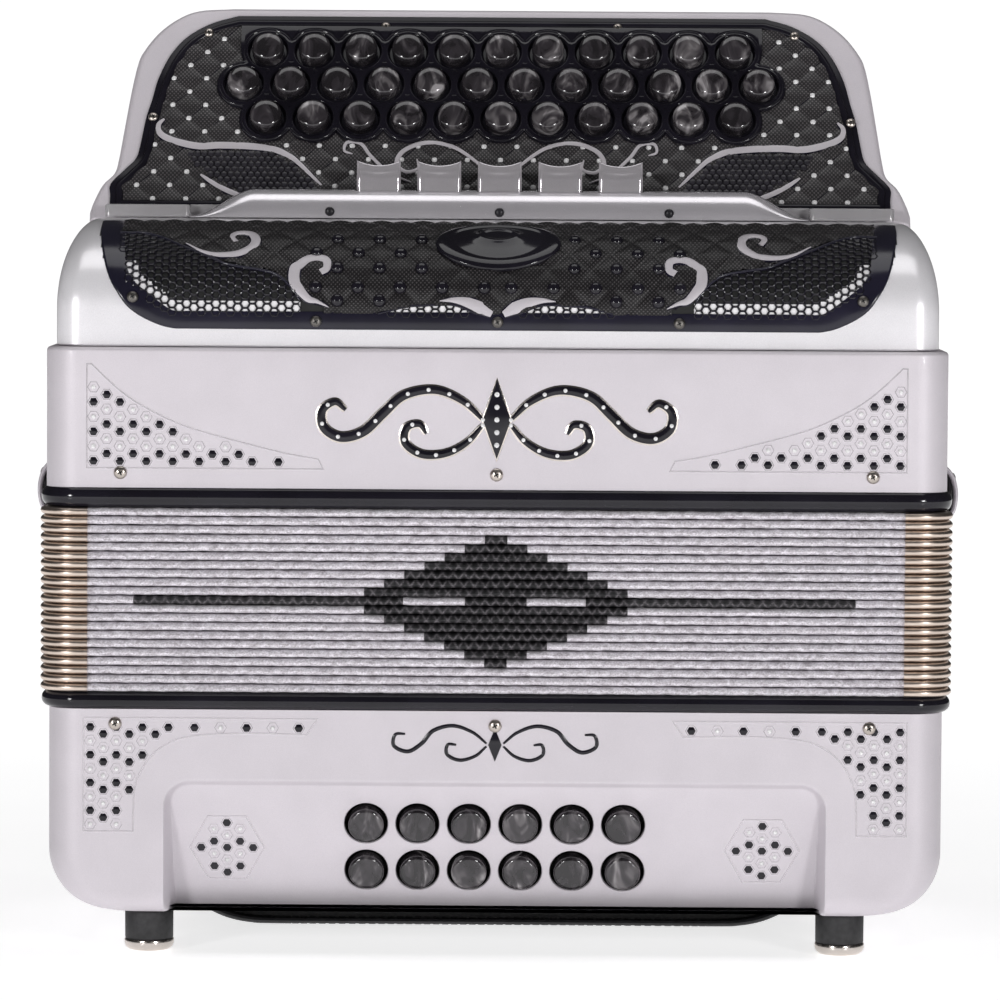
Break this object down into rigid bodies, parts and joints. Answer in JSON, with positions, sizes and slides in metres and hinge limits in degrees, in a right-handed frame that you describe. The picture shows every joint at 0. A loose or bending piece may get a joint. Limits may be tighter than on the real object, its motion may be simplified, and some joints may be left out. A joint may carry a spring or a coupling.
{
  "type": "button accordion",
  "caption": "Three-row diatonic button accordion standing on its bass end: opening bellows, slanted fingerboard with sprung buttons, register switches, bass buttons and hand strap.",
  "frame": {"origin": "centre of the overall box, on the floor plane under the feet", "axes": "+X to the player's upper end of the instrument, -Y the front with the grille, +Z along the bellows from bass end to treble end"},
  "size_m": [0.3258, 0.1818, 0.3416],
  "materials": {
    "silver_lacquer": "light pinkish silver metallic lacquer over wood, fine flake, gloss clear coat",
    "gloss_silver": "bright silver metallic, high gloss",
    "black_board": "gloss black, slightly blue",
    "pearl_button": "charcoal pearl with soft swirls, polished",
    "bellows_tape": "silver-white woven tape over black card folds",
    "strap_leather": "black leather",
    "end_plate": "black, with black rubber pads",
    "nickel": "warm nickel plate"
  },
  "bodies": {
    "bass": {"bass_casing": "silver_lacquer", "bass_end_plate": "end_plate", "bass_strap": "strap_leather", "bellows": "bellows_tape"},
    "treble": {"treble_casing": "silver_lacquer", "grille_cover": "gloss_silver", "fingerboard": "black_board", "register_rail": "gloss_silver"},
    "register_switch_1_body": {"register_switch_1": "gloss_silver"},
    "register_switch_2_body": {"register_switch_2": "gloss_silver"},
    "register_switch_3_body": {"register_switch_3": "gloss_silver"},
    "register_switch_4_body": {"register_switch_4": "gloss_silver"},
    "register_switch_5_body": {"register_switch_5": "gloss_silver"},
    "air_button_body": {"air_button": "nickel"},
    "bass_button_01_body": {"bass_button_01": "pearl_button"},
    "bass_button_02_body": {"bass_button_02": "pearl_button"},
    "bass_button_03_body": {"bass_button_03": "pearl_button"},
    "bass_button_04_body": {"bass_button_04": "pearl_button"},
    "bass_button_05_body": {"bass_button_05": "pearl_button"},
    "bass_button_06_body": {"bass_button_06": "pearl_button"},
    "bass_button_07_body": {"bass_button_07": "pearl_button"},
    "bass_button_08_body": {"bass_button_08": "pearl_button"},
    "bass_button_09_body": {"bass_button_09": "pearl_button"},
    "bass_button_10_body": {"bass_button_10": "pearl_button"},
    "bass_button_11_body": {"bass_button_11": "pearl_button"},
    "bass_button_12_body": {"bass_button_12": "pearl_button"},
    "treble_button_01_body": {"treble_button_01": "pearl_button"},
    "treble_button_02_body": {"treble_button_02": "pearl_button"},
    "treble_button_03_body": {"treble_button_03": "pearl_button"},
    "treble_button_04_body": {"treble_button_04": "pearl_button"},
    "treble_button_05_body": {"treble_button_05": "pearl_button"},
    "treble_button_06_body": {"treble_button_06": "pearl_button"},
    "treble_button_07_body": {"treble_button_07": "pearl_button"},
    "treble_button_08_body": {"treble_button_08": "pearl_button"},
    "treble_button_09_body": {"treble_button_09": "pearl_button"},
    "treble_button_10_body": {"treble_button_10": "pearl_button"},
    "treble_button_11_body": {"treble_button_11": "pearl_button"},
    "treble_button_12_body": {"treble_button_12": "pearl_button"},
    "treble_button_13_body": {"treble_button_13": "pearl_button"},
    "treble_button_14_body": {"treble_button_14": "pearl_button"},
    "treble_button_15_body": {"treble_button_15": "pearl_button"},
    "treble_button_16_body": {"treble_button_16": "pearl_button"},
    "treble_button_17_body": {"treble_button_17": "pearl_button"},
    "treble_button_18_body": {"treble_button_18": "pearl_button"},
    "treble_button_19_body": {"treble_button_19": "pearl_button"},
    "treble_button_20_body": {"treble_button_20": "pearl_button"},
    "treble_button_21_body": {"treble_button_21": "pearl_button"},
    "treble_button_22_body": {"treble_button_22": "pearl_button"},
    "treble_button_23_body": {"treble_button_23": "pearl_button"},
    "treble_button_24_body": {"treble_button_24": "pearl_button"},
    "treble_button_25_body": {"treble_button_25": "pearl_button"},
    "treble_button_26_body": {"treble_button_26": "pearl_button"},
    "treble_button_27_body": {"treble_button_27": "pearl_button"},
    "treble_button_28_body": {"treble_button_28": "pearl_button"},
    "treble_button_29_body": {"treble_button_29": "pearl_button"},
    "treble_button_30_body": {"treble_button_30": "pearl_button"},
    "treble_button_31_body": {"treble_button_31": "pearl_button"},
    "treble_button_32_body": {"treble_button_32": "pearl_button"},
    "treble_button_33_body": {"treble_button_33": "pearl_button"},
    "treble_button_34_body": {"treble_button_34": "pearl_button"}
  },
  "joints": [
    {"name": "bellows_open", "type": "slide", "parent": "bass", "child": "treble", "axis": [0, 0, 1], "range_m": [0, 0.23], "deforming": ["bellows"]},
    {"name": "register_switch_1_tilt", "type": "hinge", "parent": "treble", "child": "register_switch_1_body", "pos_m": [-0.0444, -0.0182, 0.2686], "axis": [1, 0, 0], "range_deg": [0, 14]},
    {"name": "register_switch_2_tilt", "type": "hinge", "parent": "treble", "child": "register_switch_2_body", "pos_m": [-0.0222, -0.0182, 0.2686], "axis": [1, 0, 0], "range_deg": [0, 14]},
    {"name": "register_switch_3_tilt", "type": "hinge", "parent": "treble", "child": "register_switch_3_body", "pos_m": [0, -0.0182, 0.2686], "axis": [1, 0, 0], "range_deg": [0, 14]},
    {"name": "register_switch_4_tilt", "type": "hinge", "parent": "treble", "child": "register_switch_4_body", "pos_m": [0.0222, -0.0182, 0.2686], "axis": [1, 0, 0], "range_deg": [0, 14]},
    {"name": "register_switch_5_tilt", "type": "hinge", "parent": "treble", "child": "register_switch_5_body", "pos_m": [0.0444, -0.0182, 0.2686], "axis": [1, 0, 0], "range_deg": [0, 14]},
    {"name": "air_button_press", "type": "slide", "parent": "bass", "child": "air_button_body", "axis": [0, -1, 0], "range_m": [0, 0.003], "stiffness_N_per_m": 300, "springref_m": -0.003},
    {"name": "bass_button_01_press", "type": "slide", "parent": "bass", "child": "bass_button_01_body", "axis": [0, 0.9511, 0.309], "range_m": [0, 0.0026], "stiffness_N_per_m": 180, "springref_m": -0.003},
    {"name": "bass_button_02_press", "type": "slide", "parent": "bass", "child": "bass_button_02_body", "axis": [0, 0.9511, 0.309], "range_m": [0, 0.0026], "stiffness_N_per_m": 180, "springref_m": -0.003},
    {"name": "bass_button_03_press", "type": "slide", "parent": "bass", "child": "bass_button_03_body", "axis": [0, 0.9511, 0.309], "range_m": [0, 0.0026], "stiffness_N_per_m": 180, "springref_m": -0.003},
    {"name": "bass_button_04_press", "type": "slide", "parent": "bass", "child": "bass_button_04_body", "axis": [0, 0.9511, 0.309], "range_m": [0, 0.0026], "stiffness_N_per_m": 180, "springref_m": -0.003},
    {"name": "bass_button_05_press", "type": "slide", "parent": "bass", "child": "bass_button_05_body", "axis": [0, 0.9511, 0.309], "range_m": [0, 0.0026], "stiffness_N_per_m": 180, "springref_m": -0.003},
    {"name": "bass_button_06_press", "type": "slide", "parent": "bass", "child": "bass_button_06_body", "axis": [0, 0.9511, 0.309], "range_m": [0, 0.0026], "stiffness_N_per_m": 180, "springref_m": -0.003},
    {"name": "bass_button_07_press", "type": "slide", "parent": "bass", "child": "bass_button_07_body", "axis": [0, 0.9511, 0.309], "range_m": [0, 0.0026], "stiffness_N_per_m": 180, "springref_m": -0.003},
    {"name": "bass_button_08_press", "type": "slide", "parent": "bass", "child": "bass_button_08_body", "axis": [0, 0.9511, 0.309], "range_m": [0, 0.0026], "stiffness_N_per_m": 180, "springref_m": -0.003},
    {"name": "bass_button_09_press", "type": "slide", "parent": "bass", "child": "bass_button_09_body", "axis": [0, 0.9511, 0.309], "range_m": [0, 0.0026], "stiffness_N_per_m": 180, "springref_m": -0.003},
    {"name": "bass_button_10_press", "type": "slide", "parent": "bass", "child": "bass_button_10_body", "axis": [0, 0.9511, 0.309], "range_m": [0, 0.0026], "stiffness_N_per_m": 180, "springref_m": -0.003},
    {"name": "bass_button_11_press", "type": "slide", "parent": "bass", "child": "bass_button_11_body", "axis": [0, 0.9511, 0.309], "range_m": [0, 0.0026], "stiffness_N_per_m": 180, "springref_m": -0.003},
    {"name": "bass_button_12_press", "type": "slide", "parent": "bass", "child": "bass_button_12_body", "axis": [0, 0.9511, 0.309], "range_m": [0, 0.0026], "stiffness_N_per_m": 180, "springref_m": -0.003},
    {"name": "treble_button_01_press", "type": "slide", "parent": "treble", "child": "treble_button_01_body", "axis": [0, 0.866, -0.5], "range_m": [0, 0.004], "stiffness_N_per_m": 150, "springref_m": -0.004},
    {"name": "treble_button_02_press", "type": "slide", "parent": "treble", "child": "treble_button_02_body", "axis": [0, 0.866, -0.5], "range_m": [0, 0.004], "stiffness_N_per_m": 150, "springref_m": -0.004},
    {"name": "treble_button_03_press", "type": "slide", "parent": "treble", "child": "treble_button_03_body", "axis": [0, 0.866, -0.5], "range_m": [0, 0.004], "stiffness_N_per_m": 150, "springref_m": -0.004},
    {"name": "treble_button_04_press", "type": "slide", "parent": "treble", "child": "treble_button_04_body", "axis": [0, 0.866, -0.5], "range_m": [0, 0.004], "stiffness_N_per_m": 150, "springref_m": -0.004},
    {"name": "treble_button_05_press", "type": "slide", "parent": "treble", "child": "treble_button_05_body", "axis": [0, 0.866, -0.5], "range_m": [0, 0.004], "stiffness_N_per_m": 150, "springref_m": -0.004},
    {"name": "treble_button_06_press", "type": "slide", "parent": "treble", "child": "treble_button_06_body", "axis": [0, 0.866, -0.5], "range_m": [0, 0.004], "stiffness_N_per_m": 150, "springref_m": -0.004},
    {"name": "treble_button_07_press", "type": "slide", "parent": "treble", "child": "treble_button_07_body", "axis": [0, 0.866, -0.5], "range_m": [0, 0.004], "stiffness_N_per_m": 150, "springref_m": -0.004},
    {"name": "treble_button_08_press", "type": "slide", "parent": "treble", "child": "treble_button_08_body", "axis": [0, 0.866, -0.5], "range_m": [0, 0.004], "stiffness_N_per_m": 150, "springref_m": -0.004},
    {"name": "treble_button_09_press", "type": "slide", "parent": "treble", "child": "treble_button_09_body", "axis": [0, 0.866, -0.5], "range_m": [0, 0.004], "stiffness_N_per_m": 150, "springref_m": -0.004},
    {"name": "treble_button_10_press", "type": "slide", "parent": "treble", "child": "treble_button_10_body", "axis": [0, 0.866, -0.5], "range_m": [0, 0.004], "stiffness_N_per_m": 150, "springref_m": -0.004},
    {"name": "treble_button_11_press", "type": "slide", "parent": "treble", "child": "treble_button_11_body", "axis": [0, 0.866, -0.5], "range_m": [0, 0.004], "stiffness_N_per_m": 150, "springref_m": -0.004},
    {"name": "treble_button_12_press", "type": "slide", "parent": "treble", "child": "treble_button_12_body", "axis": [0, 0.866, -0.5], "range_m": [0, 0.004], "stiffness_N_per_m": 150, "springref_m": -0.004},
    {"name": "treble_button_13_press", "type": "slide", "parent": "treble", "child": "treble_button_13_body", "axis": [0, 0.866, -0.5], "range_m": [0, 0.004], "stiffness_N_per_m": 150, "springref_m": -0.004},
    {"name": "treble_button_14_press", "type": "slide", "parent": "treble", "child": "treble_button_14_body", "axis": [0, 0.866, -0.5], "range_m": [0, 0.004], "stiffness_N_per_m": 150, "springref_m": -0.004},
    {"name": "treble_button_15_press", "type": "slide", "parent": "treble", "child": "treble_button_15_body", "axis": [0, 0.866, -0.5], "range_m": [0, 0.004], "stiffness_N_per_m": 150, "springref_m": -0.004},
    {"name": "treble_button_16_press", "type": "slide", "parent": "treble", "child": "treble_button_16_body", "axis": [0, 0.866, -0.5], "range_m": [0, 0.004], "stiffness_N_per_m": 150, "springref_m": -0.004},
    {"name": "treble_button_17_press", "type": "slide", "parent": "treble", "child": "treble_button_17_body", "axis": [0, 0.866, -0.5], "range_m": [0, 0.004], "stiffness_N_per_m": 150, "springref_m": -0.004},
    {"name": "treble_button_18_press", "type": "slide", "parent": "treble", "child": "treble_button_18_body", "axis": [0, 0.866, -0.5], "range_m": [0, 0.004], "stiffness_N_per_m": 150, "springref_m": -0.004},
    {"name": "treble_button_19_press", "type": "slide", "parent": "treble", "child": "treble_button_19_body", "axis": [0, 0.866, -0.5], "range_m": [0, 0.004], "stiffness_N_per_m": 150, "springref_m": -0.004},
    {"name": "treble_button_20_press", "type": "slide", "parent": "treble", "child": "treble_button_20_body", "axis": [0, 0.866, -0.5], "range_m": [0, 0.004], "stiffness_N_per_m": 150, "springref_m": -0.004},
    {"name": "treble_button_21_press", "type": "slide", "parent": "treble", "child": "treble_button_21_body", "axis": [0, 0.866, -0.5], "range_m": [0, 0.004], "stiffness_N_per_m": 150, "springref_m": -0.004},
    {"name": "treble_button_22_press", "type": "slide", "parent": "treble", "child": "treble_button_22_body", "axis": [0, 0.866, -0.5], "range_m": [0, 0.004], "stiffness_N_per_m": 150, "springref_m": -0.004},
    {"name": "treble_button_23_press", "type": "slide", "parent": "treble", "child": "treble_button_23_body", "axis": [0, 0.866, -0.5], "range_m": [0, 0.004], "stiffness_N_per_m": 150, "springref_m": -0.004},
    {"name": "treble_button_24_press", "type": "slide", "parent": "treble", "child": "treble_button_24_body", "axis": [0, 0.866, -0.5], "range_m": [0, 0.004], "stiffness_N_per_m": 150, "springref_m": -0.004},
    {"name": "treble_button_25_press", "type": "slide", "parent": "treble", "child": "treble_button_25_body", "axis": [0, 0.866, -0.5], "range_m": [0, 0.004], "stiffness_N_per_m": 150, "springref_m": -0.004},
    {"name": "treble_button_26_press", "type": "slide", "parent": "treble", "child": "treble_button_26_body", "axis": [0, 0.866, -0.5], "range_m": [0, 0.004], "stiffness_N_per_m": 150, "springref_m": -0.004},
    {"name": "treble_button_27_press", "type": "slide", "parent": "treble", "child": "treble_button_27_body", "axis": [0, 0.866, -0.5], "range_m": [0, 0.004], "stiffness_N_per_m": 150, "springref_m": -0.004},
    {"name": "treble_button_28_press", "type": "slide", "parent": "treble", "child": "treble_button_28_body", "axis": [0, 0.866, -0.5], "range_m": [0, 0.004], "stiffness_N_per_m": 150, "springref_m": -0.004},
    {"name": "treble_button_29_press", "type": "slide", "parent": "treble", "child": "treble_button_29_body", "axis": [0, 0.866, -0.5], "range_m": [0, 0.004], "stiffness_N_per_m": 150, "springref_m": -0.004},
    {"name": "treble_button_30_press", "type": "slide", "parent": "treble", "child": "treble_button_30_body", "axis": [0, 0.866, -0.5], "range_m": [0, 0.004], "stiffness_N_per_m": 150, "springref_m": -0.004},
    {"name": "treble_button_31_press", "type": "slide", "parent": "treble", "child": "treble_button_31_body", "axis": [0, 0.866, -0.5], "range_m": [0, 0.004], "stiffness_N_per_m": 150, "springref_m": -0.004},
    {"name": "treble_button_32_press", "type": "slide", "parent": "treble", "child": "treble_button_32_body", "axis": [0, 0.866, -0.5], "range_m": [0, 0.004], "stiffness_N_per_m": 150, "springref_m": -0.004},
    {"name": "treble_button_33_press", "type": "slide", "parent": "treble", "child": "treble_button_33_body", "axis": [0, 0.866, -0.5], "range_m": [0, 0.004], "stiffness_N_per_m": 150, "springref_m": -0.004},
    {"name": "treble_button_34_press", "type": "slide", "parent": "treble", "child": "treble_button_34_body", "axis": [0, 0.866, -0.5], "range_m": [0, 0.004], "stiffness_N_per_m": 150, "springref_m": -0.004}
  ]
}
